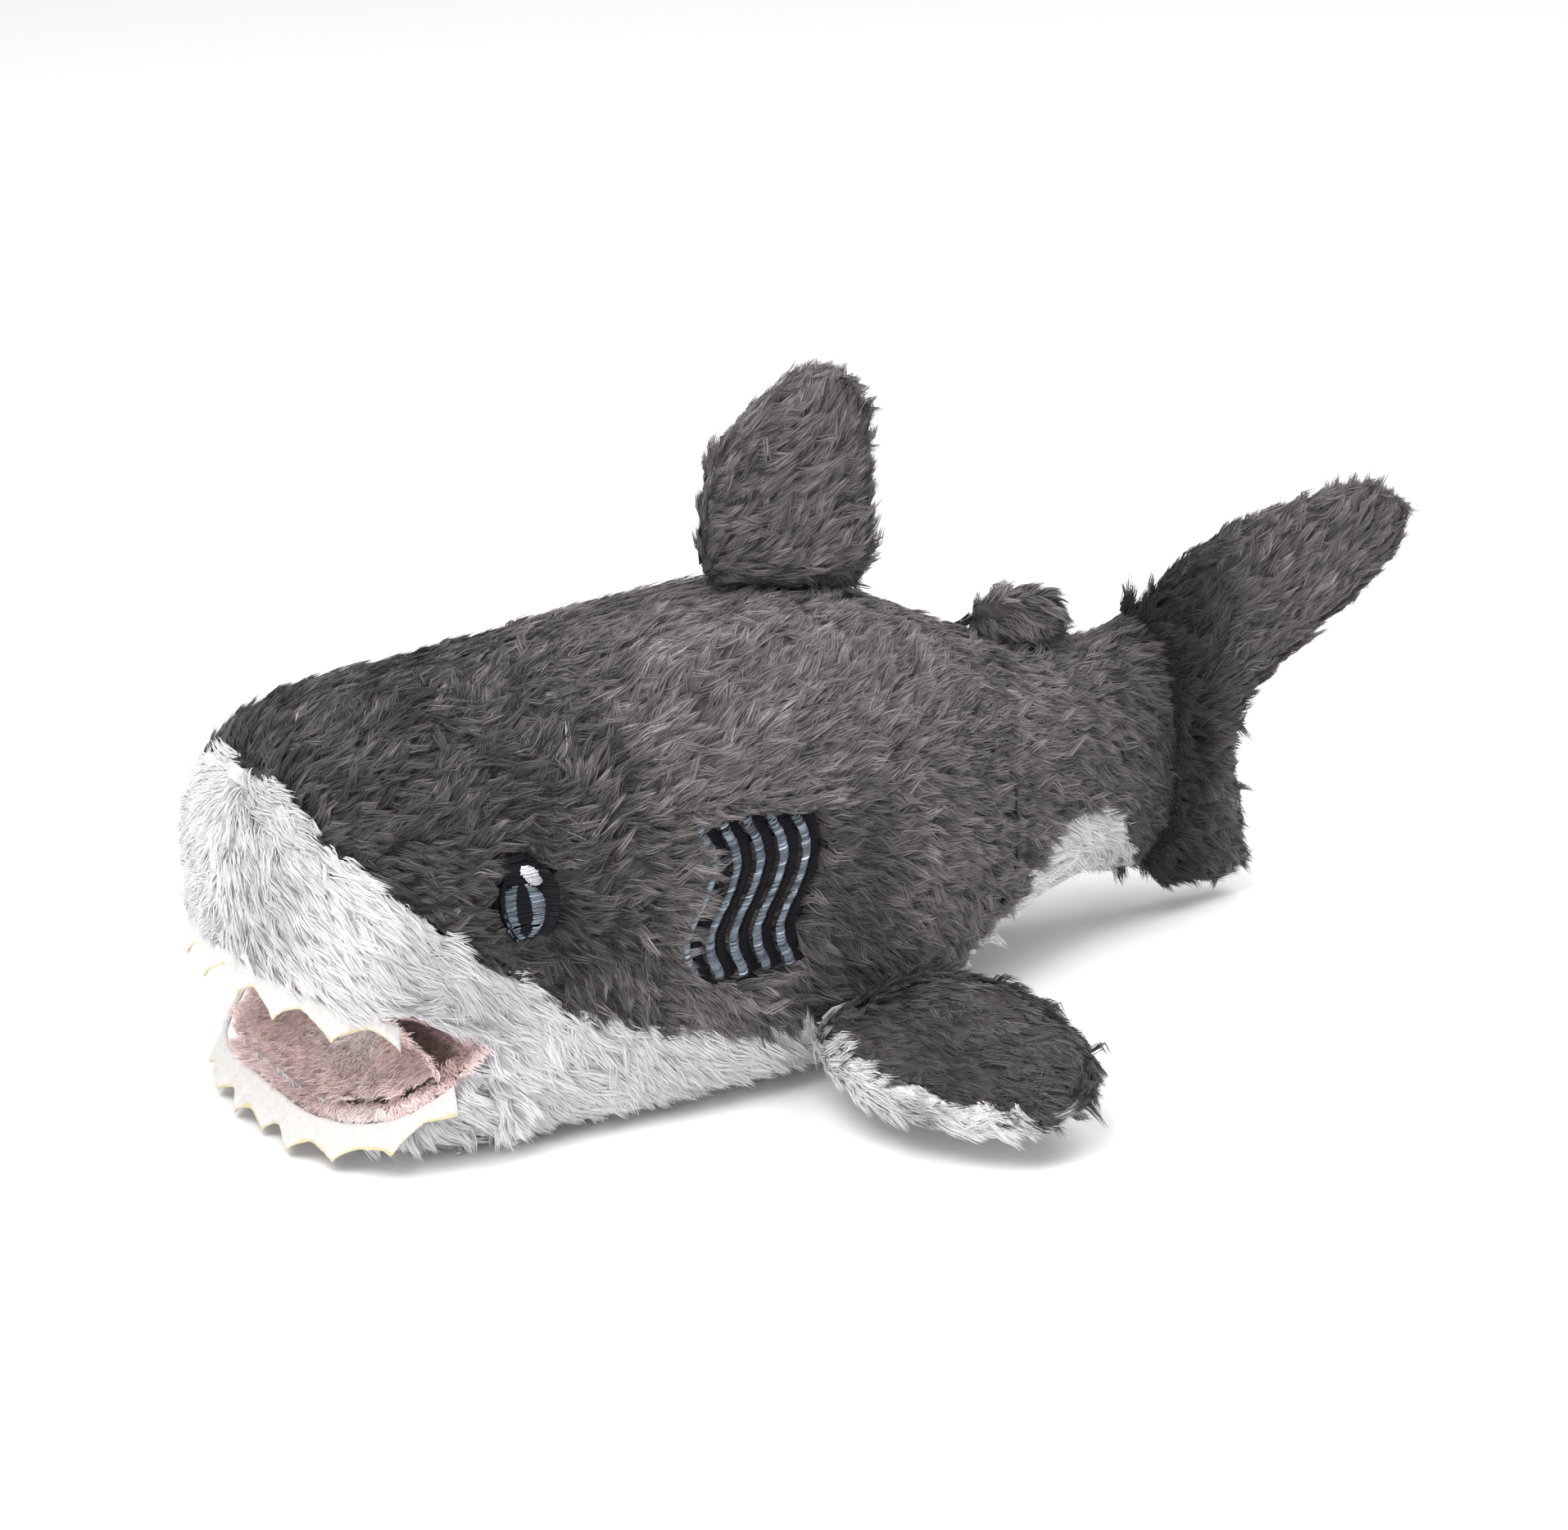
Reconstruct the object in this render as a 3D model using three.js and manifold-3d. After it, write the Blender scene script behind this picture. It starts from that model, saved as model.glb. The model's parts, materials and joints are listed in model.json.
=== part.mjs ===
// Plush shark: fur-fabric panels sewn round stuffed bodies, with an open felt-toothed mouth.
// Millimetres. Nose towards -Y, tail towards +Y, back up (+Z), the shark's left side at +X.
// The floor is z = 0, and every outer surface is the middle of the pile.
import * as THREE from 'three';
import { mergeVertices } from 'three/addons/utils/BufferGeometryUtils.js';
import Module from 'manifold-3d';

const wasm = await Module();
wasm.setup();

// ---------------------------------------------------------------- driving dimensions
const PILE = 4; // fur fabric: backing and pile together
const LINING = 2.6; // short-pile lining of the mouth
const FELT = 1.3; // felt of the teeth
const GAP = 0.3; // clearance between neighbouring pieces

const CHEEK_Y = -95; // the head narrows in front of here
const SNOUT = { noseY: -139, plan: 2.8 }; // foremost point, and superellipse exponent in plan
const JAW = { noseY: -133, plan: 2.3 };
const STOCK_END_Y = 100; // the tail stock is cut back from here by the fin socket
const NOSE_ROUND = { top: 3, under: 4 };
const UPPER_ROUND = 2.2;
const LOWER_ROUND = [[-100, 5.8], [-20, 5], [36, 2.6], [100, 2.2]]; // flat belly, rounder tail stock
const AROUND = 24; // facets round the body
const STATION_Y = [-138, -136, -133, -128.5, -122, -114, -105, -94, -80, -64, -47, -30, -14, 2, 16, 29,
  42, 54, 66, 78, 90];

const HALF_WIDTH = [[-95, 43], [-60, 46], [-20, 46.5], [10, 41], [42, 27], [66, 18], [94, 9], [104, 8]];
const BACK_Z = [[-139, 89.5], [-115, 91.5], [-75, 94], [-45, 97], [-20, 98], [0, 95], [17, 89.5], [42, 77.5],
  [68, 69], [78, 71], [90, 76], [104, 82]];
const BELLY_Z = [[-139, -0.6], [-60, -0.6], [4, -0.6], [17, 2], [32, 8], [52, 13], [66, 15], [80, 14], [104, 10]];
const WIDEST_Z = [[-139, 56], [-95, 44], [-40, 38], [20, 38], [60, 41], [104, 42]];

const MOUTH = { cornerY: -100, cornerZ: 27.5 };
const UPPER_LIP = [[-100, 28], [-116, 34], [-128, 38.5], [-150, 46]];
const LOWER_LIP = [[-100, 27], [-108, 20], [-117, 13.5], [-126, 10.5], [-150, 9.5]];
const THROAT_OPEN = 3.2; // wedge left at the floor behind the jaw
const TEETH = {
  upper: { count: 7, valley: 4, tip: 9.5, flare: 0.25, reach: 64 },
  lower: { count: 9, valley: 6.5, tip: 10.5, flare: 0.45, reach: 78 },
};

// Where grey fur meets white fur, seen from the side.
const COLOUR_SEAM = [[-160, 84], [-133, 84], [-129.5, 72], [-122, 64], [-113, 57], [-104, 48], [-90, 37],
  [-75, 28.5], [-60, 23], [-40, 18], [-10, 15], [18, 15], [34, 22], [45, 31], [53, 36], [61, 38.5],
  [68, 37], [74, 31], [80, 21], [86, 12], [110, 10]];
const CHEEK_SEAM_Y = -74; // the snout's white ends here, behind the mouth corner

const TAIL_HINGE = { y: 42, radius: 27 };
const FIN_HINGE = { y: 94, radius: 7.4 };

const DORSAL_THICK = 13;
const DORSAL = { front: [-27, 107], rear: [17.5, 97.7] }; // ends of its hinge line
const REAR_DORSAL_THICK = 9;
const REAR_DORSAL = { front: [42, 82], rear: [66, 74.6] };
const PECTORAL_THICK = 15;
const PECTORAL_SEAM = { z: 14, tilt: 0.16 }; // the seam rises by this per millimetre towards the leading edge
const PECTORAL = { x: 54.3, front: [-31, 14], rear: [10, 21] }; // ends of its hinge line

const EYE = { y: -90, z: 56.5, halfY: 5.8, halfZ: 9 };
const GILL = { count: 5, firstY: -50, pitch: 5.5, top: 63, bottom: 31, sway: 3.4, lean: 2, half: 0.85,
  shade: 2.5 };
const THREAD = { recess: 2.8, under: 2.4, over: 1.2, top: 0.6 }; // depths below the fur's surface

// ---------------------------------------------------------------- materials
function cloth(colour, roughness) {
  return new THREE.MeshStandardMaterial({ color: colour, roughness, metalness: 0 });
}
const GREY_FUR = cloth(0x5c5652, 0.95);
const WHITE_FUR = cloth(0xededf0, 0.92);
const PINK_PILE = cloth(0xe0bcb9, 0.9);
const FELT_WHITE = cloth(0xeeebe4, 0.95);
const BLACK_THREAD = cloth(0x0a0a10, 0.5);
const BLUE_THREAD = cloth(0x74859c, 0.4);
const WHITE_THREAD = cloth(0xd4d4d8, 0.4);
const STUFFING = cloth(0xf4f2ee, 1);

// ---------------------------------------------------------------- curves
function smooth(knots) {
  const slope = knots.map((_, i) => {
    const a = knots[Math.max(i - 1, 0)];
    const b = knots[Math.min(i + 1, knots.length - 1)];
    return (b[1] - a[1]) / (b[0] - a[0]);
  });
  return (t) => {
    const last = knots.length - 2;
    const i = Math.min(Math.max(knots.findIndex((k) => k[0] > t) - 1, 0), last);
    const j = t >= knots[last + 1][0] ? last : i;
    const run = knots[j + 1][0] - knots[j][0];
    const u = Math.min(Math.max((t - knots[j][0]) / run, 0), 1);
    const v = 1 - u;
    return v * v * (1 + 2 * u) * knots[j][1] + u * u * (3 - 2 * u) * knots[j + 1][1]
      + run * u * v * (v * slope[j] - u * slope[j + 1]);
  };
}
const halfWidthAt = smooth(HALF_WIDTH);
const lowerRoundAt = smooth(LOWER_ROUND);
const backAt = smooth(BACK_Z);
const bellyAt = smooth(BELLY_Z);
const widestAt = smooth(WIDEST_Z);

function arc(u, n) {
  return u <= 0 ? 1 : (1 - Math.min(u, 1) ** n) ** (1 / n);
}

function signedPower(value, n) {
  return Math.sign(value) * Math.abs(value) ** (2 / n);
}

// The body's section at y, with the surface moved inwards by inset.
function sectionAt(y, inset, front) {
  const u = (CHEEK_Y - y) / (CHEEK_Y - front.noseY - inset);
  return {
    half: (halfWidthAt(Math.max(y, CHEEK_Y)) - inset) * arc(u, front.plan),
    mid: widestAt(y),
    up: (backAt(y) - inset - widestAt(y)) * arc(u, NOSE_ROUND.top),
    down: (widestAt(y) - bellyAt(y) - inset) * arc(u, NOSE_ROUND.under),
  };
}

function sectionPoint(y, angle, inset, front) {
  const s = sectionAt(y, inset, front);
  const n = Math.sin(angle) > 0 ? UPPER_ROUND : lowerRoundAt(y);
  const x = s.half * signedPower(Math.cos(angle), n);
  const z = s.mid + (Math.sin(angle) > 0 ? s.up : s.down) * signedPower(Math.sin(angle), n);
  return new THREE.Vector3(x, y, z);
}

function isInside(x, y, z, front) {
  const s = sectionAt(y, 0, front);
  if (s.half <= 0) return false;
  const upper = z > s.mid;
  const n = upper ? UPPER_ROUND : lowerRoundAt(y);
  return Math.abs(x / s.half) ** n + Math.abs((z - s.mid) / (upper ? s.up : s.down)) ** n < 1;
}

// ---------------------------------------------------------------- solids
function toSolid(geometry) {
  geometry.deleteAttribute('normal');
  geometry.deleteAttribute('uv');
  const merged = mergeVertices(geometry, 1e-4);
  return new wasm.Manifold(new wasm.Mesh({
    numProp: 3,
    vertProperties: merged.attributes.position.array,
    triVerts: new Uint32Array(merged.index.array),
  }));
}

function toGeometry(solid) {
  const mesh = solid.getMesh();
  const geometry = new THREE.BufferGeometry();
  geometry.setAttribute('position', new THREE.BufferAttribute(mesh.vertProperties, 3));
  geometry.setIndex(new THREE.BufferAttribute(mesh.triVerts, 1));
  geometry.computeVertexNormals();
  return geometry;
}

// A closed skin over rings of points that all have the same count; each end closes on its middle.
// The rings may run either way: the faces are turned outwards at the end.
function loft(rings) {
  const count = rings[0].length;
  const middle = (ring) => ring.reduce((sum, p) => sum.add(p), new THREE.Vector3()).divideScalar(count);
  const points = [...rings.flat(), middle(rings[0]), middle(rings.at(-1))];
  const index = [];
  for (let r = 0; r < rings.length - 1; r += 1) {
    for (let i = 0; i < count; i += 1) {
      const j = (i + 1) % count;
      const [a, b, c, d] = [r * count + i, r * count + j, (r + 1) * count + i, (r + 1) * count + j];
      index.push(a, b, c, b, d, c);
    }
  }
  const end = (rings.length - 1) * count;
  for (let i = 0; i < count; i += 1) {
    const j = (i + 1) % count;
    index.push(j, i, points.length - 2, end + i, end + j, points.length - 1);
  }
  const volume = index.reduce((sum, _, i) => (i % 3 ? sum
    : sum + points[index[i]].dot(points[index[i + 1]].clone().cross(points[index[i + 2]]))), 0);
  const geometry = new THREE.BufferGeometry().setFromPoints(points);
  geometry.setIndex(volume > 0 ? index : index.reverse());
  return geometry;
}

// A side view outline of [y, z] points, run across the body from x0 to x1.
const ACROSS = new THREE.Matrix4().makeBasis(
  new THREE.Vector3(0, 1, 0), new THREE.Vector3(0, 0, 1), new THREE.Vector3(1, 0, 0));
function prism(outline, x0, x1) {
  const shape = new THREE.Shape(outline.map(([y, z]) => new THREE.Vector2(y, z)));
  const geometry = new THREE.ExtrudeGeometry(shape, { depth: x1 - x0, bevelEnabled: false });
  return toSolid(geometry.applyMatrix4(ACROSS).translate(x0, 0, 0));
}

function block(x0, x1, y0, y1, z0, z1) {
  const geometry = new THREE.BoxGeometry(x1 - x0, y1 - y0, z1 - z0);
  return toSolid(geometry.translate((x0 + x1) / 2, (y0 + y1) / 2, (z0 + z1) / 2));
}

// All that turns with a vertical hinge: the round knuckle on its axis and everything behind it.
function behindHinge(hinge, grow) {
  const knuckle = new THREE.CylinderGeometry(hinge.radius + grow, hinge.radius + grow, 240, 48);
  knuckle.rotateX(Math.PI / 2).translate(0, hinge.y, 40);
  return toSolid(knuckle).add(block(-90, 90, hinge.y - grow, 240, -80, 160));
}

// A polyline moved sideways by distance, to the left of its direction.
function offsetLine(line, distance) {
  return line.map(([y, z], i) => {
    const a = line[Math.max(i - 1, 0)];
    const b = line[Math.min(i + 1, line.length - 1)];
    const run = Math.hypot(b[0] - a[0], b[1] - a[1]);
    return [y - (distance * (b[1] - a[1])) / run, z + (distance * (b[0] - a[0])) / run];
  });
}

function bodySolid(inset, front = SNOUT) {
  const tip = front.noseY + inset;
  const stations = [tip + 0.4, ...STATION_Y.filter((y) => y > tip + 1), STOCK_END_Y];
  return toSolid(loft(stations.map((y) => Array.from({ length: AROUND }, (_, i) => (
    sectionPoint(y, (-2 * Math.PI * (i + 0.5)) / AROUND, inset, front))))));
}

const group = new THREE.Group();
function addPiece(name, solid, material) {
  const mesh = new THREE.Mesh(toGeometry(solid), material);
  mesh.name = name;
  group.add(mesh);
}

// ---------------------------------------------------------------- regions seen from the side
const FAR = 160;
const TOP = 170;
const LOW = -10;
const HALF = GAP / 2;
const greyRegion = prism([...offsetLine(COLOUR_SEAM, HALF), [FAR, TOP], [-FAR, TOP]], -FAR, FAR);
const whiteRegion = prism([...offsetLine(COLOUR_SEAM, -HALF), [FAR, LOW], [-FAR, LOW]], -FAR, FAR);

const lipCorner = [MOUTH.cornerY, MOUTH.cornerZ];
const mouthGape = prism([[MOUTH.cornerY + GAP, MOUTH.cornerZ], ...UPPER_LIP, ...[...LOWER_LIP].reverse()],
  -FAR, FAR);
const aboveMouth = prism([...UPPER_LIP.map(([y, z]) => [y, z + HALF]), [-150, 120], [CHEEK_SEAM_Y, 120],
  [CHEEK_SEAM_Y, MOUTH.cornerZ + HALF]], -FAR, FAR);
const jawRegion = prism([[MOUTH.cornerY - GAP, MOUTH.cornerZ - 0.8],
  ...LOWER_LIP.slice(1).map(([y, z]) => [y, z - HALF]), [-150, LOW], [MOUTH.cornerY - GAP, LOW]], -FAR, FAR);
const throatWedge = prism([[-150, LOW], [-150, MOUTH.cornerZ], lipCorner,
  [MOUTH.cornerY + THROAT_OPEN, 0], [MOUTH.cornerY + THROAT_OPEN * 1.4, LOW]], -FAR, FAR);
const liningOver = prism([...UPPER_LIP.map(([y, z]) => [y, z + HALF]),
  ...UPPER_LIP.map(([y, z]) => [y, z + LINING]).reverse()], -FAR, FAR);
const liningUnder = prism([...LOWER_LIP.slice(1).map(([y, z]) => [y, z - HALF]),
  ...LOWER_LIP.slice(1).map(([y, z]) => [y, z - LINING]).reverse()], -FAR, FAR);
const liningClear = prism([...UPPER_LIP.map(([y, z]) => [y + (y === UPPER_LIP[0][0] ? 1 : 0), z - 1]),
  ...UPPER_LIP.map(([y, z]) => [y, z + LINING + GAP]).reverse()], -FAR, FAR);
const liningClearUnder = prism([...LOWER_LIP.map(([y, z]) => [y, z + 1]),
  ...LOWER_LIP.map(([y, z]) => [y, z - LINING - GAP]).reverse()], -FAR, FAR);

const LEFT_HALF = block(HALF, FAR, -FAR, FAR, -FAR, FAR);
const RIGHT_HALF = block(-FAR, -HALF, -FAR, FAR, -FAR, FAR);
const tailPart = behindHinge(TAIL_HINGE, 0);
const tailSpace = behindHinge(TAIL_HINGE, 0.5);
const finSpace = behindHinge(FIN_HINGE, 0);

// ---------------------------------------------------------------- embroidery places
const SIDES = [['left', 1], ['right', -1]];

function ovalOutline(y, z, halfY, halfZ) {
  return new THREE.EllipseCurve(y, z, halfY, halfZ).getPoints(16).slice(0, -1).map((p) => [p.x, p.y]);
}

function onSide(outline, side) {
  return side > 0 ? prism(outline, 20, 80) : prism(outline, -80, -20);
}

function gillLine(index, shift) {
  const firstY = GILL.firstY + GILL.pitch * index + shift;
  return Array.from({ length: 8 }, (_, i) => {
    const t = i / 7;
    const y = firstY + GILL.sway * Math.sin(2 * Math.PI * t) - GILL.lean * t;
    return [y, GILL.top + (GILL.bottom - GILL.top) * t];
  });
}

function strip(line, half) {
  return [...offsetLine(line, half), ...offsetLine(line, -half).reverse()];
}

const gillPatch = strip([
  [GILL.firstY + GILL.pitch * 2.1, GILL.top + 1.2],
  [GILL.firstY + GILL.pitch * 2.1 - GILL.lean, GILL.bottom - 1.2],
], GILL.pitch * 2.5 + GILL.sway);
const eyeOval = ovalOutline(EYE.y, EYE.z, EYE.halfY, EYE.halfZ);
const eyeSocket = ovalOutline(EYE.y, EYE.z, EYE.halfY + GAP, EYE.halfZ + GAP);

// ---------------------------------------------------------------- head, trunk and tail stock
const flattened = block(-FAR, FAR, -FAR, FAR, -FAR, 0); // the pile under the belly is pressed flat
const outer = bodySolid(0).subtract(flattened);
const core = bodySolid(PILE + GAP);
const recessFloor = bodySolid(THREAD.recess);
let skin = outer.subtract(bodySolid(PILE));
for (const [, side] of SIDES) {
  const sunk = onSide(gillPatch, side).add(onSide(eyeSocket, side)).subtract(recessFloor);
  skin = skin.subtract(sunk);
}
const torsoSkin = skin.subtract(tailSpace).subtract(mouthGape);
const tailSkin = skin.intersect(tailPart).subtract(finSpace);

addPiece('back_panel_left', torsoSkin.intersect(greyRegion).intersect(LEFT_HALF), GREY_FUR);
addPiece('back_panel_right', torsoSkin.intersect(greyRegion).intersect(RIGHT_HALF), GREY_FUR);
addPiece('snout_panel', torsoSkin.intersect(whiteRegion).intersect(aboveMouth), WHITE_FUR);
const trunkWhite = torsoSkin.intersect(whiteRegion).subtract(throatWedge);
const cheekSlot = block(-FAR, FAR, -FAR, CHEEK_SEAM_Y + GAP, MOUTH.cornerZ, FAR);
addPiece('belly_panel', trunkWhite.subtract(cheekSlot), WHITE_FUR);
addPiece('palate_lining', liningOver.intersect(core), PINK_PILE);
addPiece('body_stuffing', core.subtract(tailSpace).subtract(throatWedge).subtract(mouthGape)
  .subtract(liningClear), STUFFING);

const jawSkin = bodySolid(0, JAW).subtract(bodySolid(PILE, JAW)).subtract(flattened);
const jawCore = bodySolid(PILE + GAP, JAW).intersect(jawRegion);
addPiece('jaw_panel', jawSkin.intersect(jawRegion), WHITE_FUR);
addPiece('mouth_floor_lining', liningUnder.intersect(jawCore), PINK_PILE);
addPiece('jaw_stuffing', jawCore.subtract(liningClearUnder), STUFFING);

addPiece('tail_panel_left', tailSkin.intersect(greyRegion).intersect(LEFT_HALF), GREY_FUR);
addPiece('tail_panel_right', tailSkin.intersect(greyRegion).intersect(RIGHT_HALF), GREY_FUR);
addPiece('tail_underside_panel', tailSkin.intersect(whiteRegion), WHITE_FUR);
addPiece('tail_stuffing', core.intersect(tailPart).subtract(finSpace), STUFFING);

// ---------------------------------------------------------------- eyes and gills
for (const [name, side] of SIDES) {
  const layer = (depthOut, depthIn) => bodySolid(depthOut).subtract(bodySolid(depthIn));
  const lower = layer(THREAD.over + GAP, THREAD.under);
  const upper = layer(THREAD.top, THREAD.over);
  const iris = onSide(ovalOutline(EYE.y - 0.6, EYE.z - 2.2, 4.4, 5.8), side)
    .subtract(onSide(ovalOutline(EYE.y - 0.6, EYE.z - 1.4, 2, 4.6), side))
    .subtract(onSide([[-100, EYE.z + 1.6], [-80, EYE.z + 1.6], [-80, 90], [-100, 90]], side));
  addPiece(`eye_base_${name}`, onSide(eyeOval, side).intersect(lower), BLACK_THREAD);
  addPiece(`eye_iris_${name}`, iris.intersect(upper), BLUE_THREAD);
  const glint = ovalOutline(EYE.y + 1.2, EYE.z + 4.7, 2.6, 2.4);
  addPiece(`eye_highlight_${name}`, onSide(glint, side).intersect(upper), WHITE_THREAD);
  for (let i = 0; i < GILL.count; i += 1) {
    const line = onSide(strip(gillLine(i, 0), GILL.half), side);
    const shade = onSide(strip(gillLine(i, GILL.shade), GILL.half), side);
    addPiece(`gill_${i + 1}_line_${name}`, line.intersect(lower), BLUE_THREAD);
    addPiece(`gill_${i + 1}_shade_${name}`, shade.intersect(lower), BLACK_THREAD);
  }
}

// ---------------------------------------------------------------- felt teeth
const TEETH_TAPER = 0.6; // the bands narrow towards the mouth corners
const LIP_CENTRE_Y = MOUTH.cornerY + 2;

function lipHeight(lipLine) {
  const lipAt = smooth([...lipLine].reverse());
  return (y) => lipAt(Math.min(y, MOUTH.cornerY - 0.5));
}

// Distance from the mouth's middle to the lip in a direction of the plan view.
function lipReach(angle, heightAt, front) {
  let [near, far] = [0, 60];
  for (let i = 0; i < 24; i += 1) {
    const r = (near + far) / 2;
    const y = LIP_CENTRE_Y - r * Math.cos(angle);
    if (isInside(r * Math.sin(angle), y, heightAt(y), front)) near = r;
    else far = r;
  }
  return near;
}

// A zigzag band of felt hanging from a lip, inset from the fur's surface and flared outwards.
function teethBand(lipLine, front, teeth, inset) {
  const heightAt = lipHeight(lipLine);
  const steps = teeth.count * 4;
  const end = THREE.MathUtils.degToRad(teeth.reach);
  const rings = Array.from({ length: steps + 1 }, (_, i) => {
    const angle = end * ((2 * i) / steps - 1);
    const reach = lipReach(angle, heightAt, front) - inset;
    const wave = Math.abs(((i / 4 + 0.5) % 1) * 2 - 1);
    const drop = (teeth.tip + (teeth.valley - teeth.tip) * wave) * Math.cos(angle * TEETH_TAPER);
    const lean = teeth.flare * drop;
    const top = heightAt(LIP_CENTRE_Y - reach * Math.cos(angle)) - GAP;
    const foot = top - Math.sqrt(drop * drop - lean * lean);
    const at = (r, z) => new THREE.Vector3(r * Math.sin(angle), LIP_CENTRE_Y - r * Math.cos(angle), z);
    return [at(reach, top), at(reach + lean, foot), at(reach + FELT + lean, foot), at(reach + FELT, top)];
  });
  return toSolid(loft(rings));
}
addPiece('upper_teeth_strip', teethBand(UPPER_LIP, SNOUT, TEETH.upper, 3), FELT_WHITE);
addPiece('lower_teeth_strip', teethBand(LOWER_LIP, JAW, TEETH.lower, -GAP), FELT_WHITE);

// ---------------------------------------------------------------- fins
const FIN_AROUND = 14;

// A fin over sections, each an oval from one edge point to the other with a thickness across it.
function finSolid(sections, across, shrink) {
  const rings = sections.filter((s) => s.thick - 2 * shrink > 1).map(({ a, b, thick }) => {
    const from = new THREE.Vector3(...a);
    const to = new THREE.Vector3(...b);
    const along = to.clone().sub(from).normalize();
    const centre = from.clone().add(to).multiplyScalar(0.5);
    const halfChord = from.distanceTo(to) / 2 - shrink;
    return Array.from({ length: FIN_AROUND }, (_, i) => {
      const angle = (2 * Math.PI * i) / FIN_AROUND;
      return centre.clone()
        .addScaledVector(along, halfChord * Math.cos(angle))
        .addScaledVector(across, (thick / 2 - shrink) * Math.sin(angle));
    });
  });
  return toSolid(loft(rings));
}

// The rounded foot of a fin below its hinge line, so that it can lean without touching the body.
function footSections(front, rear, down, thick, count) {
  return Array.from({ length: count }, (_, i) => {
    const angle = (Math.PI / 2) * (1 - (i + 0.5) / count) * 0.93;
    const depth = (thick / 2) * Math.sin(angle);
    const place = (end, inwards) => end.clone().addScaledVector(down, depth)
      .addScaledVector(rear.clone().sub(front).normalize(), inwards * depth * 0.35).toArray();
    return { a: place(front, 1), b: place(rear, -1), thick: thick * Math.cos(angle) };
  });
}

function inPlane([y, z]) {
  return new THREE.Vector3(0, y, z);
}

function uprightSections(list) {
  return list.map(([frontY, frontZ, rearY, rearZ, thick]) => (
    { a: [0, frontY, frontZ], b: [0, rearY, rearZ], thick }));
}
const SIDEWAYS = new THREE.Vector3(1, 0, 0);

function uprightFin(base, thick, upper) {
  const front = inPlane(base.front);
  const rear = inPlane(base.rear);
  const along = rear.clone().sub(front).normalize();
  const down = new THREE.Vector3(0, along.z, -along.y);
  return [...footSections(front, rear, down, thick, 3),
    { a: front.toArray(), b: rear.toArray(), thick }, ...uprightSections(upper)];
}

const dorsalSections = uprightFin(DORSAL, DORSAL_THICK, [
  [-26.5, 117.5, 18, 108, 13], [-23, 127.5, 17.5, 119.5, 12.5], [-16, 135, 16, 129.5, 11],
  [-8, 140, 13, 136.5, 9], [0, 143, 8, 141.5, 4]]);
const rearDorsalSections = uprightFin(REAR_DORSAL, REAR_DORSAL_THICK, [
  [43.5, 83.4, 66.5, 77.6, 8.5], [48, 84.8, 66, 80.4, 6.5], [53, 85.6, 63, 83.2, 3.5]]);
const caudalSections = uprightSections([
  [93, 6.5, 114, 4.5, 5], [88.8, 13, 117.5, 10, 11], [87.6, 26, 116, 24, 13], [87.6, 42, 114.5, 38, 13],
  [87.6, 59, 117, 46, 13], [87.8, 76, 126, 52.5, 13], [96, 83.5, 134, 58, 13], [108, 88.5, 142, 62.5, 12.5],
  [121, 91.5, 149, 67, 12.5], [135, 93.5, 155, 72, 12], [148, 93.5, 159, 78, 10],
  [155, 90.5, 160.3, 83.5, 4.5]]);

function addUprightFin(name, sections, stuffed) {
  const shell = stuffed
    ? finSolid(sections, SIDEWAYS, 0).subtract(finSolid(sections, SIDEWAYS, PILE))
    : finSolid(sections, SIDEWAYS, 0);
  addPiece(`${name}_panel_left`, shell.intersect(LEFT_HALF), GREY_FUR);
  addPiece(`${name}_panel_right`, shell.intersect(RIGHT_HALF), GREY_FUR);
  if (stuffed) addPiece(`${name}_stuffing`, finSolid(sections, SIDEWAYS, PILE + GAP), STUFFING);
}
addUprightFin('dorsal_fin', dorsalSections, true);
addUprightFin('rear_dorsal_fin', rearDorsalSections, false);
addUprightFin('tail_fin', caudalSections, true);

// A pectoral fin runs outwards from its hinge line, its top face grey and its underside white.
function pectoralSections(side) {
  const front = new THREE.Vector3(PECTORAL.x, ...PECTORAL.front);
  const rear = new THREE.Vector3(PECTORAL.x, ...PECTORAL.rear);
  const outward = [
    [62, -32, 14.5, 12.6, 21, 15.5], [72, -31.5, 17, 11.2, 19, 15.5], [82, -28, 18, 10.2, 16.8, 15],
    [92, -21, 16, 9.6, 15.2, 13], [99, -13, 11, 9.8, 14.4, 9.5], [102.5, -5, 5, 11, 13, 4]];
  const sections = [
    ...footSections(front, rear, new THREE.Vector3(-1, 0, 0), PECTORAL_THICK, 3),
    { a: front.toArray(), b: rear.toArray(), thick: PECTORAL_THICK },
    ...outward.map(([x, yFront, yRear, zFront, zRear, thick]) => (
      { a: [x, yFront, zFront], b: [x, yRear, zRear], thick })),
  ];
  return sections.map(({ a, b, thick }) => (
    { a: [side * a[0], a[1], a[2]], b: [side * b[0], b[1], b[2]], thick }));
}
const UPWARDS = new THREE.Vector3(0, 0, 1);

// The block above or below a pectoral fin's seam, which runs high along the leading edge.
function seamBlock(side, lift, edge) {
  const box = new THREE.BoxGeometry(100, 120, 2);
  const place = box.attributes.position;
  for (let i = 0; i < place.count; i += 1) {
    const x = place.getX(i) + 70;
    const y = place.getY(i);
    const seam = PECTORAL_SEAM.z - 0.05 * (x - PECTORAL.x) - PECTORAL_SEAM.tilt * (y + 10);
    const isSeam = place.getZ(i) > 0 === edge < seam;
    place.setXYZ(i, side * x, y, isSeam ? seam + lift : edge);
  }
  if (side < 0) box.setIndex([...box.index.array].reverse());
  return toSolid(box);
}

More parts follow.
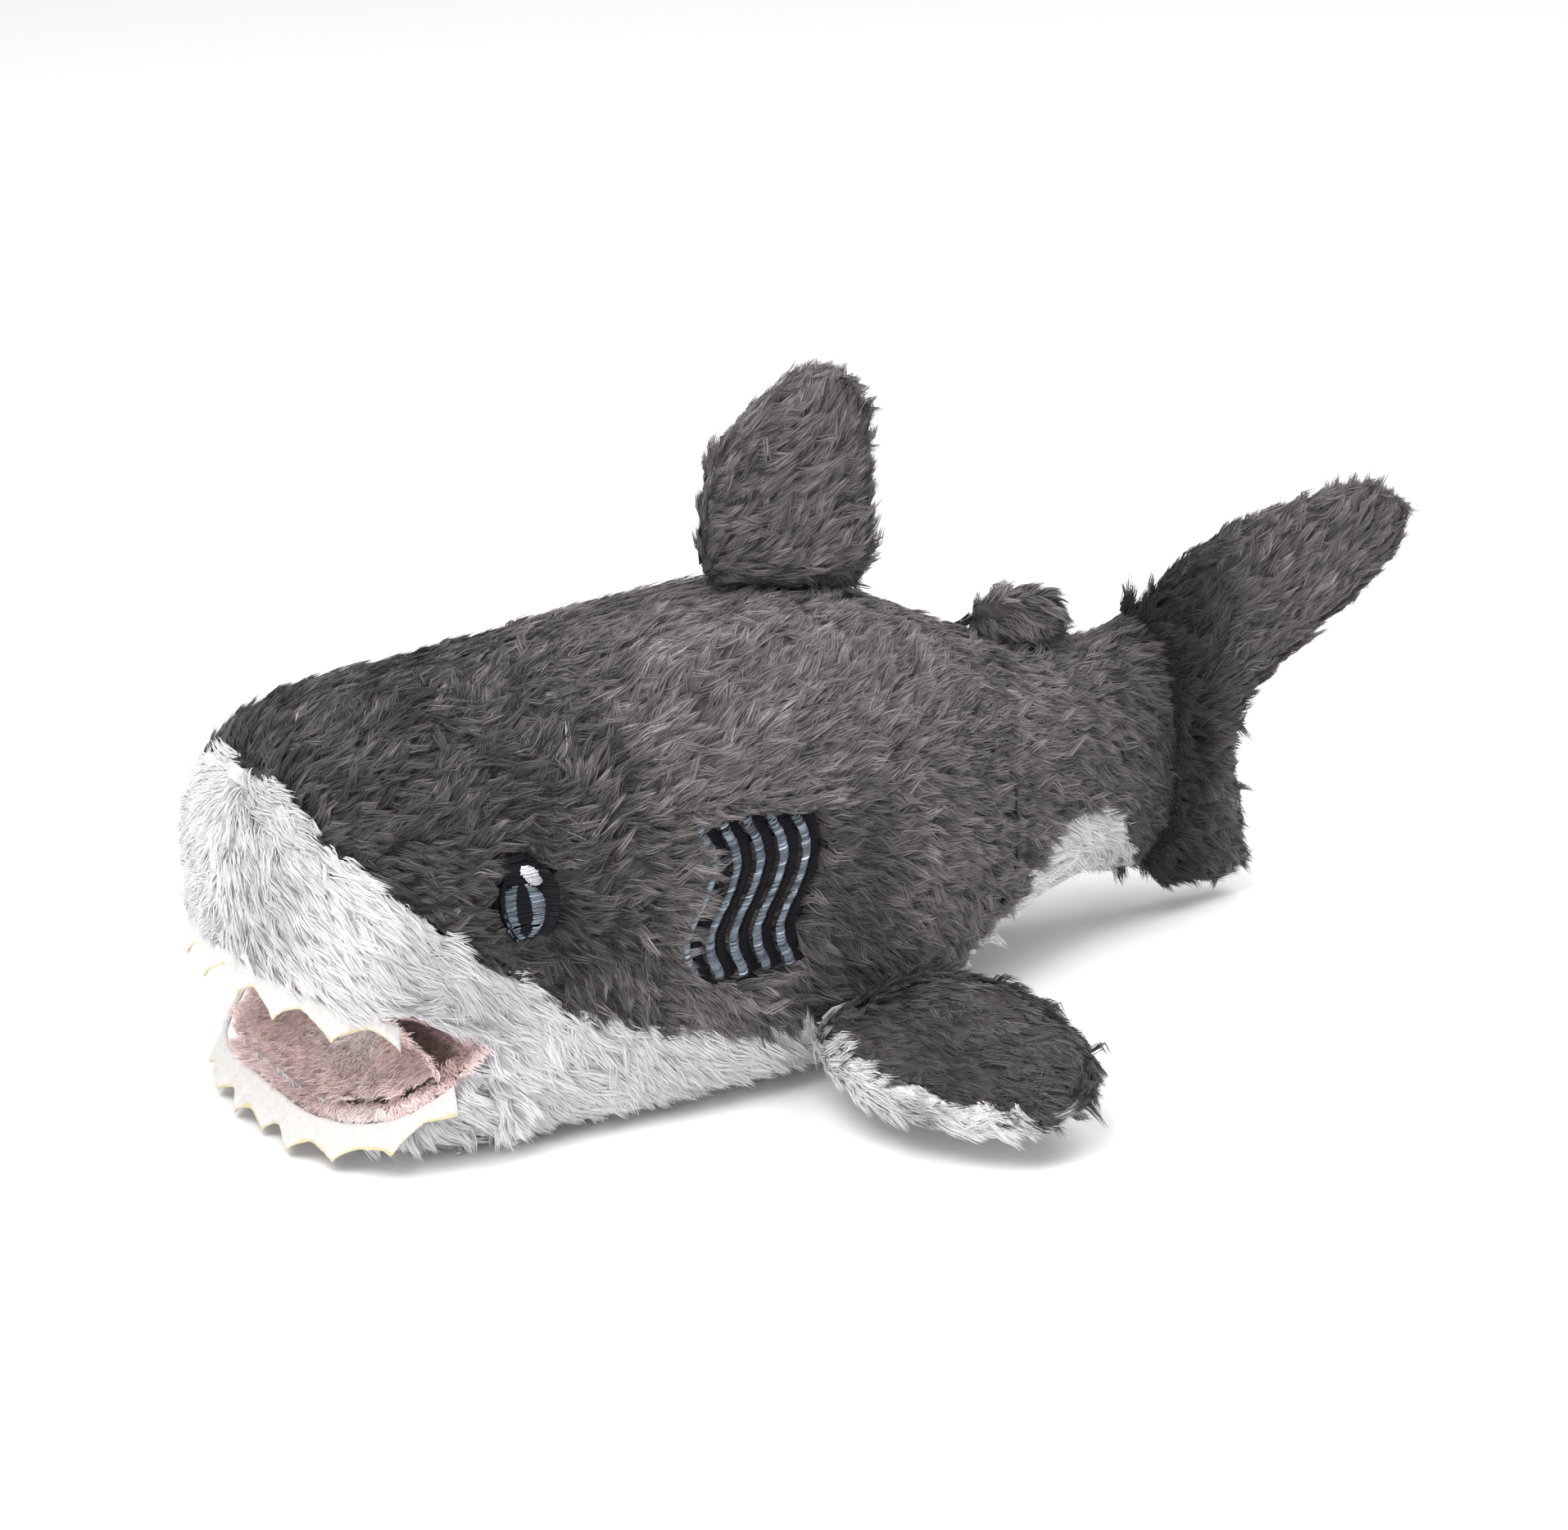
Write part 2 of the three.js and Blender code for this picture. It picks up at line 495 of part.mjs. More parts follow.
for (const [name, side] of SIDES) {
  const sections = pectoralSections(side);
  const shell = finSolid(sections, UPWARDS, 0).subtract(finSolid(sections, UPWARDS, PILE));
  addPiece(`pectoral_${name}_top_panel`, shell.intersect(seamBlock(side, HALF, 60)), GREY_FUR);
  addPiece(`pectoral_${name}_under_panel`, shell.intersect(seamBlock(side, -HALF, -40)), WHITE_FUR);
  addPiece(`pectoral_${name}_stuffing`, finSolid(sections, UPWARDS, PILE + GAP), STUFFING);
}

export default group;
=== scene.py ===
"""Plush shark: fur grown strand by strand over the sewn panels, felt teeth, embroidered eyes and gills.

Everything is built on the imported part: panels, bands and thread areas come from its nodes.
Lengths are in metres, except in the looks of the pile, which are in millimetres and degrees.
"""
import json
import math

import bpy
import numpy as np
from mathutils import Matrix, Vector
from mathutils.bvhtree import BVHTree
from mathutils.kdtree import KDTree


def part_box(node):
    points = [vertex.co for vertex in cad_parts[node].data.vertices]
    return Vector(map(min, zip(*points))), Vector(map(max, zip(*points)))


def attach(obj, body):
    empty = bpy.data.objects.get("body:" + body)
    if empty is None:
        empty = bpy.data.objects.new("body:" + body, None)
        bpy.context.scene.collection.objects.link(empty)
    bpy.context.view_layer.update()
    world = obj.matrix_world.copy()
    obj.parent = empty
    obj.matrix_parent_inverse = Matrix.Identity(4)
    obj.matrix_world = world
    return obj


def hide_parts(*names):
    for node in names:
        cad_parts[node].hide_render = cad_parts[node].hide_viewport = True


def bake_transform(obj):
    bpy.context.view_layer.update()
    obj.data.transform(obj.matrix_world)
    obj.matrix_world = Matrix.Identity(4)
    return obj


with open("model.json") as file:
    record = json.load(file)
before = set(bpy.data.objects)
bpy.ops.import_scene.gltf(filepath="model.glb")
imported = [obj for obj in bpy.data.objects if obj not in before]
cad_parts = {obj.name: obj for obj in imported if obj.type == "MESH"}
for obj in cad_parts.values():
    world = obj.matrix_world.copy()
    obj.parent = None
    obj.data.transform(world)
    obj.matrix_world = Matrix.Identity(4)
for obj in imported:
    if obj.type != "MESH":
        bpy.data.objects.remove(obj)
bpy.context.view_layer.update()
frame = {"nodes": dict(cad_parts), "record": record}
NODES = frame["nodes"]
RNG = np.random.default_rng(7)

MM = 0.001
OFF_CENTRE = 0.02  # a point further than this from the middle plane is on a flank
BESIDE = 0.09  # rays at a flank start this far out
BACKING_DEPTH = 2.5 * MM  # the cloth the pile is knitted into, below the middle of the pile
FLOOR_CLEAR = 0.25 * MM
SEAM_CLEAR = 1.0 * MM  # a face with something this near in front of it is hidden

JAW_BLEND = ((0, -0.088, 0.02), (0, -0.110, 0.02))
TAIL_BLEND = ((0, 0.026, 0.04), (0, 0.058, 0.04))
HEAD_END_Y = -0.062  # head and shoulder fur meet here
LOIN_START_Y = -0.015  # shoulder and loin fur meet here
BELLY_SPLIT_Y = -0.04  # the belly bends with the jaw in front of here, and with the tail behind

# ---------------------------------------------------------------- reading the frame


def triangles(name):
    mesh = NODES[name].data
    mesh.calc_loop_triangles()
    points = np.empty(len(mesh.vertices) * 3, np.float32)
    corners = np.empty(len(mesh.loop_triangles) * 3, np.int32)
    mesh.vertices.foreach_get("co", points)
    mesh.loop_triangles.foreach_get("vertices", corners)
    return points.reshape(-1, 3).astype(float), corners.reshape(-1, 3)


def tree_of(names):
    points, corners, used = [], [], 0
    for name in names:
        p, c = triangles(name)
        points.append(p)
        corners.append(c + used)
        used += len(p)
    return BVHTree.FromPolygons(np.concatenate(points).tolist(), np.concatenate(corners).tolist())


def unit(v):
    return v / np.maximum(np.linalg.norm(v, axis=-1, keepdims=True), 1e-12)


ALL_SOLIDS = tree_of(sorted(NODES))


def scatter(name, per_mm2):
    """Points on a node's open faces, spread evenly, and the faces' normals there."""
    points, corners = triangles(name)
    a, b, c = (points[corners[:, i]] for i in range(3))
    cross = np.cross(b - a, c - a)
    size = np.linalg.norm(cross, axis=1) / 2
    count = int(size.sum() / MM**2 * per_mm2)
    face = RNG.choice(len(size), count, p=size / size.sum())
    u, v = RNG.random((2, count, 1))
    u, v = np.where(u + v > 1, 1 - u, u), np.where(u + v > 1, 1 - v, v)
    at = a[face] + u * (b[face] - a[face]) + v * (c[face] - a[face])
    normal = unit(cross[face])
    start = at + normal * 0.02 * MM
    is_open = np.array([
        ALL_SOLIDS.ray_cast(Vector(s), Vector(n), SEAM_CLEAR)[0] is None for s, n in zip(start, normal)
    ])
    return at[is_open], normal[is_open]


FUR_NODES = [n for n in sorted(NODES) if n.endswith(("_panel", "_panel_left", "_panel_right"))]
LINING_NODES = ["palate_lining", "mouth_floor_lining"]


class RoundedNormals:
    """Normals of the whole skin, averaged over so many faces near a point. Cut edges are left out."""

    def __init__(self, names, per_mm2, neighbours):
        found = [scatter(n, per_mm2) for n in names]
        self.neighbours = neighbours
        self.keep(np.concatenate([f[0] for f in found]), np.concatenate([f[1] for f in found]))
        outer = (self.at(self.points, self.normals) * self.normals).sum(1) > CUT_EDGE
        self.keep(self.points[outer], self.normals[outer])

    def keep(self, points, normals):
        self.points, self.normals = points, normals
        self.tree = KDTree(len(points))
        for i, p in enumerate(points):
            self.tree.insert(p, i)
        self.tree.balance()

    def at(self, points, normals):
        rounded = np.empty_like(normals)
        for i, (p, n) in enumerate(zip(points, normals)):
            ids = [found[1] for found in self.tree.find_n(p, self.neighbours)]
            near = self.normals[ids]
            rounded[i] = near[near @ n > -0.2].sum(0) + 0.1 * n
        return unit(rounded)


CUT_EDGE = 0.62  # a face turned further than this from the skin round it is a panel's cut edge
skin_normals = RoundedNormals(FUR_NODES + LINING_NODES, 0.4, 20)


# ---------------------------------------------------------------- smooth noise
WAVES = 6


def ripples(points, wavelength, seed):
    """A smooth field between about -1 and 1 over points in space."""
    rng = np.random.default_rng(seed)
    waves = unit(rng.normal(size=(WAVES, 3))) * rng.uniform(0.7, 1.5, (WAVES, 1))
    phases = rng.uniform(0, 2 * np.pi, WAVES)
    return np.sin(points @ waves.T * (2 * np.pi / wavelength) + phases).sum(1) / math.sqrt(WAVES)


# ---------------------------------------------------------------- materials
def new_material(name, roughness, specular, sheen=0.0):
    material = bpy.data.materials.new(name)
    material.use_nodes = True
    shader = material.node_tree.nodes["Principled BSDF"]
    shader.inputs["Roughness"].default_value = roughness
    shader.inputs["Specular IOR Level"].default_value = specular
    shader.inputs["Sheen Weight"].default_value = sheen
    shader.inputs["Sheen Roughness"].default_value = 0.5
    return material, material.node_tree, shader


def node(tree, kind, **values):
    made = tree.nodes.new(kind)
    for key, value in values.items():
        if key in made.inputs:
            made.inputs[key].default_value = value
        else:
            setattr(made, key, value)
    return made


def toned_material(name, roughness, specular, mottle, scale, bump=0.0, **more):
    """Colour from the mesh's Tone attribute, mottled by noise."""
    material, tree, shader = new_material(name, roughness, specular, **more)
    tone = node(tree, "ShaderNodeAttribute", attribute_name="Tone")
    place = node(tree, "ShaderNodeTexCoord")
    noise = node(tree, "ShaderNodeTexNoise", Scale=scale, Detail=3.0)
    tree.links.new(place.outputs["Object"], noise.inputs["Vector"])
    ramp = node(tree, "ShaderNodeMapRange")
    ramp.inputs["From Min"].default_value = 0.3
    ramp.inputs["From Max"].default_value = 0.7
    ramp.inputs["To Min"].default_value = 1 - mottle
    ramp.inputs["To Max"].default_value = 1 + mottle
    tree.links.new(noise.outputs["Fac"], ramp.inputs["Value"])
    mixed = node(tree, "ShaderNodeVectorMath", operation="SCALE")
    tree.links.new(tone.outputs["Color"], mixed.inputs[0])
    tree.links.new(ramp.outputs["Result"], mixed.inputs["Scale"])
    tree.links.new(mixed.outputs["Vector"], shader.inputs["Base Color"])
    if bump:
        raised = node(tree, "ShaderNodeBump", Strength=0.6, Distance=bump)
        tree.links.new(noise.outputs["Fac"], raised.inputs["Height"])
        tree.links.new(raised.outputs["Normal"], shader.inputs["Normal"])
    return material


GREY_PILE = toned_material("grey_fur", 0.62, 0.22, 0.12, 90, sheen=0.15)
WHITE_PILE = toned_material("white_fur", 0.62, 0.2, 0.04, 90, sheen=0.1)
PINK_PILE = toned_material("pink_pile", 0.8, 0.15, 0.06, 160, sheen=0.3)
BACKING = toned_material("backing_cloth", 0.95, 0.1, 0.25, 900, bump=0.0004)
FELT = toned_material("felt", 0.95, 0.12, 0.05, 700, bump=0.00025, sheen=0.35)
THREAD = toned_material("thread", 0.5, 0.16, 0.25, 1500)

GREY = np.array([0.190, 0.174, 0.171])
PECTORAL_GREY = np.array([0.115, 0.105, 0.106])
WHITE = np.array([0.64, 0.64, 0.652])
PINK = np.array([0.95, 0.76, 0.74])
FELT_WHITE = np.array([0.55, 0.535, 0.525])
EDGE_YELLOW = np.array([0.52, 0.43, 0.19])
BLACK_THREAD = np.array([0.004, 0.004, 0.007])
BLUE_THREAD = np.array([0.125, 0.15, 0.18])
PALE_THREAD = np.array([0.50, 0.51, 0.53])


# ---------------------------------------------------------------- meshes from arrays
def mesh_piece(name, points, corners, starts, material, tone=None, uv=None):
    mesh = bpy.data.meshes.new(name)
    mesh.vertices.add(len(points))
    mesh.vertices.foreach_set("co", np.ascontiguousarray(points, np.float32).ravel())
    mesh.loops.add(len(corners))
    mesh.loops.foreach_set("vertex_index", np.ascontiguousarray(corners, np.int32))
    mesh.polygons.add(len(starts))
    mesh.polygons.foreach_set("loop_start", np.ascontiguousarray(starts, np.int32))
    mesh.update(calc_edges=True)
    if uv is not None:
        layer = mesh.uv_layers.new(name="OFBake")
        layer.uv.foreach_set("vector", np.ascontiguousarray(uv, np.float32).ravel())
    if tone is not None:
        set_tone(mesh, tone)
    mesh.materials.append(material)
    piece = bpy.data.objects.new(name, mesh)
    bpy.context.scene.collection.objects.link(piece)
    return piece


def set_tone(mesh, tone):
    colour = np.ones((len(mesh.vertices), 4), np.float32)
    colour[:, :3] = tone
    layer = mesh.color_attributes.new("Tone", "FLOAT_COLOR", "POINT")
    layer.data.foreach_set("color", colour.ravel())


def move_with(piece, bodies):
    """bodies is one body's name, or (body, body, (start, end)), for which the piece's transform is only baked
    into its mesh.
    """
    if isinstance(bodies, str):
        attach(piece, bodies)
    else:
        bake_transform(piece)


TORSO_JAW = ("torso", "jaw", JAW_BLEND)
TORSO_TAIL = ("torso", "tail", TAIL_BLEND)

# ---------------------------------------------------------------- fur
# A strand is a ribbon: two points at its foot, two at its middle and one at its tip.
LEVELS = np.array([0.08, 0.52, 1.0])  # how far along the strand they are
WIDTHS = np.array([1.0, 0.85])
STRAND_CORNERS = np.array([0, 1, 3, 2, 2, 3, 4])
STRAND_STARTS = np.array([0, 4])
STRAND_CELL = np.array([[0.15, 0.1], [0.85, 0.1], [0.15, 0.5], [0.85, 0.5], [0.5, 0.9]])
# Painted highlight: how much lighter the tip of every strand is painted
TIP_HIGHLIGHT = 1.12


def fur_mesh(name, roots, normals, flow, look, tone, scale):
    """Locks of fur: every root gets a bent guide, and strands round it that draw together at the tip."""
    count, many = len(roots), look["strands"]
    side = np.cross(normals, flow)
    length = look["length"] * MM * np.exp(RNG.normal(0, 0.16, count)) * scale
    lift = np.radians(look["lift"]) * np.exp(RNG.normal(0, 0.2, count))
    curl = look["curl"] * RNG.normal(0, 1, count) * length
    phase = RNG.uniform(-0.6, 0.6, count)
    s = LEVELS[None, :]
    along = length[:, None] * (s * np.cos(lift)[:, None] + (1 - np.cos(lift))[:, None] * s**2 * 0.7)
    up = length[:, None] * np.sin(lift)[:, None] * (s - look["droop"] * s**2)
    sway = curl[:, None] * (np.sin(np.pi * 1.2 * (s + phase[:, None])) - np.sin(np.pi * 1.2 * phase)[:, None])

    strand = np.repeat(np.arange(count), many)
    total = len(strand)
    radius = look["spread"] * MM * np.sqrt(RNG.random(total))
    angle = RNG.uniform(0, 2 * np.pi, total)
    factor = RNG.uniform(0.72, 1.08, total)
    closing = 1 - look["pinch"] * s**1.3
    f, n, b = flow[strand][:, None], normals[strand][:, None], side[strand][:, None]
    forward = factor[:, None] * along[strand] + (radius * np.cos(angle))[:, None] * closing
    across = sway[strand] + (radius * np.sin(angle))[:, None] * closing
    height = factor[:, None] * up[strand] - BACKING_DEPTH * look["rooted"]
    centre = roots[strand][:, None] + forward[..., None] * f + across[..., None] * b + height[..., None] * n
    centre += RNG.normal(0, look["frizz"] * MM, (total, 1, 3)) * (s**1.5)[..., None]
    tangent = unit(np.gradient(centre, axis=1))
    roll = RNG.normal(0, look["roll"], total)[:, None, None]
    wide = unit(np.cross(tangent, n * np.cos(roll) + b * np.sin(roll)))
    half = (look["width"] * MM / 2 * RNG.uniform(0.7, 1.3, total))[:, None] * WIDTHS[None, :]
    left = centre[:, :2] - wide[:, :2] * half[..., None]
    right = centre[:, :2] + wide[:, :2] * half[..., None]
    pairs = np.stack([left, right], axis=2).reshape(total, 4, 3)
    points = np.concatenate([pairs, centre[:, 2:]], axis=1).reshape(-1, 3)
    low = FLOOR_CLEAR * (1 + 3 * RNG.random(len(points)))
    points[:, 2] = np.maximum(points[:, 2], low)

    # Painted shade darkens each strand towards its foot by the look's root_shade, and a painted highlight
    # lightens its tip
    root = look["root_shade"]
    middle_shade = 0.35 * root + 0.6
    shade = np.array([root, root, middle_shade, middle_shade, TIP_HIGHLIGHT])
    colour = tone[strand] * np.exp(RNG.normal(0, look["contrast"], (total, 1)))
    colour = (colour[:, None] * shade[None, :, None]).reshape(-1, 3)
    cell = math.ceil(math.sqrt(total))
    origin = np.stack([np.arange(total) % cell, np.arange(total) // cell], axis=1)
    uv = (origin[:, None] + STRAND_CELL[STRAND_CORNERS][None]).reshape(-1, 2) / cell
    base = np.arange(total)[:, None]
    corners = base * len(STRAND_CELL) + STRAND_CORNERS
    starts = base * len(STRAND_CORNERS) + STRAND_STARTS
    colour = np.clip(colour, 0, 0.95)
    return mesh_piece(name, points, corners.ravel(), starts.ravel(), look["material"], colour, uv)


LONG_FUR = dict(
    material=GREY_PILE,
    strands=22,  # in a lock
    length=6.8,
    rooted=1.0,  # how much of BACKING_DEPTH the strands start below the skin
    lift=44,  # degrees from the skin
    droop=0.60,
    curl=0.14,
    spread=1.5,  # a lock's radius at its foot
    pinch=0.72,  # how much narrower it is at its tip
    frizz=0.24,
    width=0.25,
    roll=0.7,
    # painted shade: the foot of a strand is painted at this share of its colour
    root_shade=0.2,
    contrast=0.19,
)
# The head's pile has deeper painted shade at the feet of its strands
HEAD_FUR = dict(LONG_FUR, root_shade=0.08, contrast=0.34, pinch=0.84)
WHITE_FUR = dict(LONG_FUR, material=WHITE_PILE, root_shade=0.97, contrast=0.02, spread=1.7, pinch=0.5,
                 frizz=0.26, width=0.26, roll=0.35, curl=0.08)
FIN_FUR = dict(LONG_FUR, length=6.0, spread=1.4, lift=38)
WHITE_FIN_FUR = dict(WHITE_FUR, length=6.0, lift=38)
FLAT_FUR = dict(LONG_FUR, length=3.0, lift=24, spread=0.8, pinch=0.3, frizz=0.15, strands=9, root_shade=0.5,
                rooted=0.1)
SHORT_PILE = dict(LONG_FUR, material=PINK_PILE, strands=9, length=2.2, lift=50, droop=0.45, curl=0.1,
                  spread=1.2, pinch=0.0, frizz=0.28, width=0.24, roll=0.3, root_shade=1.0, contrast=0.015,
                  rooted=0.2)
RIM_PILE = dict(SHORT_PILE, lift=34)
CLUMPS = 0.46  # locks to a square millimetre
UNDERNEATH = 0.45  # share of the locks kept where the belly lies on the floor
PRESSED = 0.4  # and how long they are there


def along_surface(direction, normals):
    return unit(direction - (direction * normals).sum(1, keepdims=True) * normals)


def turned(flow, normals, angle):
    return flow * np.cos(angle)[:, None] + np.cross(normals, flow) * np.sin(angle)[:, None]


HINGE_Y = 0.042  # the tail swings about here
MOUTH_CENTRE = np.array([0, -0.098, 0.012])
LOWER_LIP_Y = np.array([-0.150, -0.126, -0.117, -0.108, -0.100])
LOWER_LIP_Z = np.array([0.0095, 0.0105, 0.0135, 0.020, 0.027])
LINED = 5 * MM  # how far below the lower lip its pink lining reaches
TONGUE_RISE = 3.5 * MM
RIM_OVERLAP = 0.11  # the mouth floor's pile spreads outwards by up to this share
FOLDS_Y = (0.035, -0.100)  # where the skin folds: before the tail, and behind the jaw
TAIL_ROOT_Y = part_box("tail_fin_panel_left")[0].y + 6 * MM
SIDE_LINE_Z = 0.064  # the flank's pile rises above this height and hangs below it


def body_flow(points, normals):
    rise = np.clip((points[:, 2] - SIDE_LINE_Z) / 0.026, -1.1, 0.9)
    level = np.clip(np.abs(points[:, 1] - HINGE_Y) / 0.02, 0.15, 1)  # almost straight back over the hinge
    direction = np.stack([0 * rise, np.ones_like(rise), rise * 0.8 * level], axis=1)
    return along_surface(direction, normals)


def steady_flow(*direction):
    return lambda points, normals: along_surface(np.broadcast_to(direction, points.shape), normals)


def outward(points):
    """Level directions away from the middle of the mouth."""
    return (points - MOUTH_CENTRE) * (1, 1, 0)


def outward_flow(points, normals):
    return along_surface(outward(points), normals)


def snout_flow(points, normals):
    """Down and away from the middle of the snout, and back."""
    sideways = 0.6 * np.tanh(points[:, 0] / (8 * MM))
    direction = np.stack([sideways, 0 * sideways + 0.5, 0 * sideways - 0.5], axis=1)
    return along_surface(direction, normals)


def by_lip(points):
    return points[:, 2] > np.interp(points[:, 1], LOWER_LIP_Y, LOWER_LIP_Z) - LINED


def is_rim(points, normals):
    """Whether faces of the jaw look up, or in towards the mouth."""
    inward = (normals * unit(outward(points))).sum(1) < -0.3
    return (normals[:, 2] >= 0.4) | (inward & by_lip(points) & (normals[:, 2] > -0.4))


def tail_fin_flow(points, normals):
    rise = np.clip((points[:, 2] - 0.045) / 0.02, -0.7, 1.0)
    return along_surface(np.stack([0 * rise, np.ones_like(rise), 0.75 * rise], axis=1), normals)


def pectoral_flow(side):
    def flow(points, normals):
        up = np.where(normals[:, 2] > -0.1, 0.1, -0.3)
        return along_surface(np.stack([0 * up + side, 0 * up + 0.45, up], axis=1), normals)
    return flow


MEMBERS = frame["record"]["behaviour"]["bodies"]
BODY_OF = {n: b for b, names in MEMBERS.items() for n in names}
ONE_SKIN = ("torso", "tail", "jaw")  # the fabric runs on between these
SEAM_REACH = 0.012
sewn_on = {}


def to_seam(node_name, points):
    """The nearest panel that is sewn on: how far from each point, up to SEAM_REACH, and which way."""
    body = BODY_OF[node_name]
    if body not in sewn_on:
        skin = ONE_SKIN if body in ONE_SKIN else (body,)
        sewn_on[body] = tree_of([n for b in MEMBERS if b not in skin for n in MEMBERS[b] if "panel" in n])
    found = [sewn_on[body].find_nearest(Vector(p), SEAM_REACH) for p in points]
    distance = np.array([SEAM_REACH if d is None else d for _, _, _, d in found])
    toward = [(0, 0, 0) if at is None else at - Vector(p) for (at, _, _, _), p in zip(found, points)]
    return distance, unit(np.array(toward))


PILE_LEAN = 2.2 * MM  # the pile before an embroidered area lies back over it by this much
EYE_LOW, EYE_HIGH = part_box("eye_base_left")
EYE_CENTRE, EYE_HALF = (EYE_LOW + EYE_HIGH) / 2, (EYE_HIGH - EYE_LOW) / 2


def strip_centre(node_name):
    """The line down the middle of a gill strip: heights, and its y at each."""
    points, _ = triangles(node_name)
    tree = tree_of([node_name])
    side = np.sign(points[:, 0].mean())
    rows = np.linspace(points[:, 2].min() + 0.4 * MM, points[:, 2].max() - 0.4 * MM, 24)
    across = np.linspace(points[:, 1].min(), points[:, 1].max(), 80)
    heights, places = [], []
    for z in rows:
        inside = [y for y in across
                  if tree.ray_cast(Vector((side * BESIDE, y, z)), Vector((-side, 0, 0)))[0] is not None]
        if inside:
            heights.append(z)
            places.append(np.mean(inside))
    return np.array(heights), np.array(places)


FIRST_GILL, LAST_GILL = strip_centre("gill_1_line_left"), strip_centre("gill_5_shade_left")
GILL_BOXES = [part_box(name) for name in ("gill_5_shade_left", *(f"gill_{i}_line_left" for i in range(1, 6)))]
GILL_LOW = np.min([low for low, _ in GILL_BOXES], axis=0)
GILL_HIGH = np.max([high for _, high in GILL_BOXES], axis=0)
GILL_CENTRE, GILL_HALF = (GILL_LOW + GILL_HIGH) / 2, (GILL_HIGH - GILL_LOW) / 2


def near_gills(points, beyond_y, beyond_z):
    y, z = (np.abs(points[:, 1:] - GILL_CENTRE[1:]) - GILL_HALF[1:]).T
    return (y < beyond_y) & (z < beyond_z) & (np.abs(points[:, 0]) > OFF_CENTRE)


def quadratic(points):
    y, z = (points[:, 1:] - GILL_CENTRE[1:]).T
    return np.stack([np.ones_like(y), y, z, y * y, y * z, z * z], axis=1)


def outer_skin():
    """Quadratic that follows the flank round the gills, without its recess: |x| over (y, z)."""
    points, _ = scatter("back_panel_left", 0.6)
    points = points[near_gills(points, 16 * MM, 10 * MM)]
    kept = np.ones(len(points), bool)
    for _ in range(8):
        fit = np.linalg.lstsq(quadratic(points[kept]), points[kept, 0], rcond=None)[0]
        kept = quadratic(points) @ fit - points[:, 0] < 0.6 * MM
    return fit


OUTER_SKIN = outer_skin()


def over_gills(points):
    first, last = (np.interp(points[:, 2], *line) for line in (FIRST_GILL, LAST_GILL))
    x, y, z = points.T
    inside = (y > first - 2.4 * MM) & (y < last + 0.2 * MM) & (np.abs(x) > OFF_CENTRE)
    return inside & (z > FIRST_GILL[0][0] - 1 * MM) & (z < FIRST_GILL[0][-1] + 1 * MM)


def trimmed(points):
    """How much of the pile is left near the embroidery: 1 is all of it."""
    eye = np.hypot((points[:, 1] - EYE_CENTRE.y + PILE_LEAN) / (EYE_HALF.y + 0.6 * MM),
                   (points[:, 2] - EYE_CENTRE.z) / (EYE_HALF.z + 0.6 * MM))
    by_eye = np.where(np.abs(points[:, 0]) > OFF_CENTRE, np.clip((eye - 0.9) / 0.4, 0, 1), 1)
    return np.where(over_gills(points), 0.0, by_eye)


def in_mouth(points):
    low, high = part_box("palate_lining")
    return (points[:, 1] < high.y + 6 * MM) & (points[:, 2] < high.z) & (np.abs(points[:, 0]) < high.x)


def tongue_rise(node_name, points):
    """The mouth's floor is stuffed up into a soft roll, highest along its middle."""
    if node_name != "mouth_floor_lining":
        return 0 * points
    low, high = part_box(node_name)
    across = np.clip(1 - (points[:, 0] / (high.x * 0.95)) ** 2, 0, 1)
    inside = np.clip((points[:, 1] - low.y) / (12 * MM), 0, 1)
    rise = TONGUE_RISE * (0.4 + 0.6 * across * np.sin(inside * np.pi / 2))
    return np.outer(rise, (0, 0, 1))


def on_floor(points, normals):
    """Where the pile is pressed short under the toy."""
    return (points[:, 2] < 6 * MM) & (normals[:, 2] < -0.8)


def raised(points):
    """Out of the gill recess, to where the skin round it would be; nothing under the stitches."""
    depth = quadratic(points) @ OUTER_SKIN - np.abs(points[:, 0])
    sunken = near_gills(points, 12 * MM, 8 * MM) & ~over_gills(points) & (depth > 0.8 * MM)
    lift = np.where(sunken, np.minimum(depth, 4 * MM), 0)
    return np.outer(lift * np.sign(points[:, 0]), (1, 0, 0))


def in_shade(points):
    """How much painted shade darkens the grey pile: on the brow and cheek, behind the gills, at the tail fin's
    root.
    """
    _, y, z = points.T
    brow = 0.58 * np.clip((-0.052 - y) / 0.03, 0, 1)
    behind_gills = GILL_HIGH[1] + 5 * MM
    gills = 0.5 * np.exp(-(((y - behind_gills) / 0.010) ** 2)) * (z < 0.062)
    root = 0.85 * np.exp(-(((y - TAIL_ROOT_Y) / 0.016) ** 2)) * (z < 0.095)
    return np.clip(brow + gills + root, 0, 0.8)


def folded_over(points, direction):
    """Roots by a fold slide back along the skin, so that the pile closes over it."""
    for fold in FOLDS_Y:
        by_fold = np.clip(1.4 - np.abs(points[:, 1] - fold) / (7 * MM), 0, 1)
        points = points + (by_fold * RNG.uniform(0, 5 * MM, len(points)))[:, None] * direction
    return points


def everywhere(points, faces):
    return np.full(len(points), True)


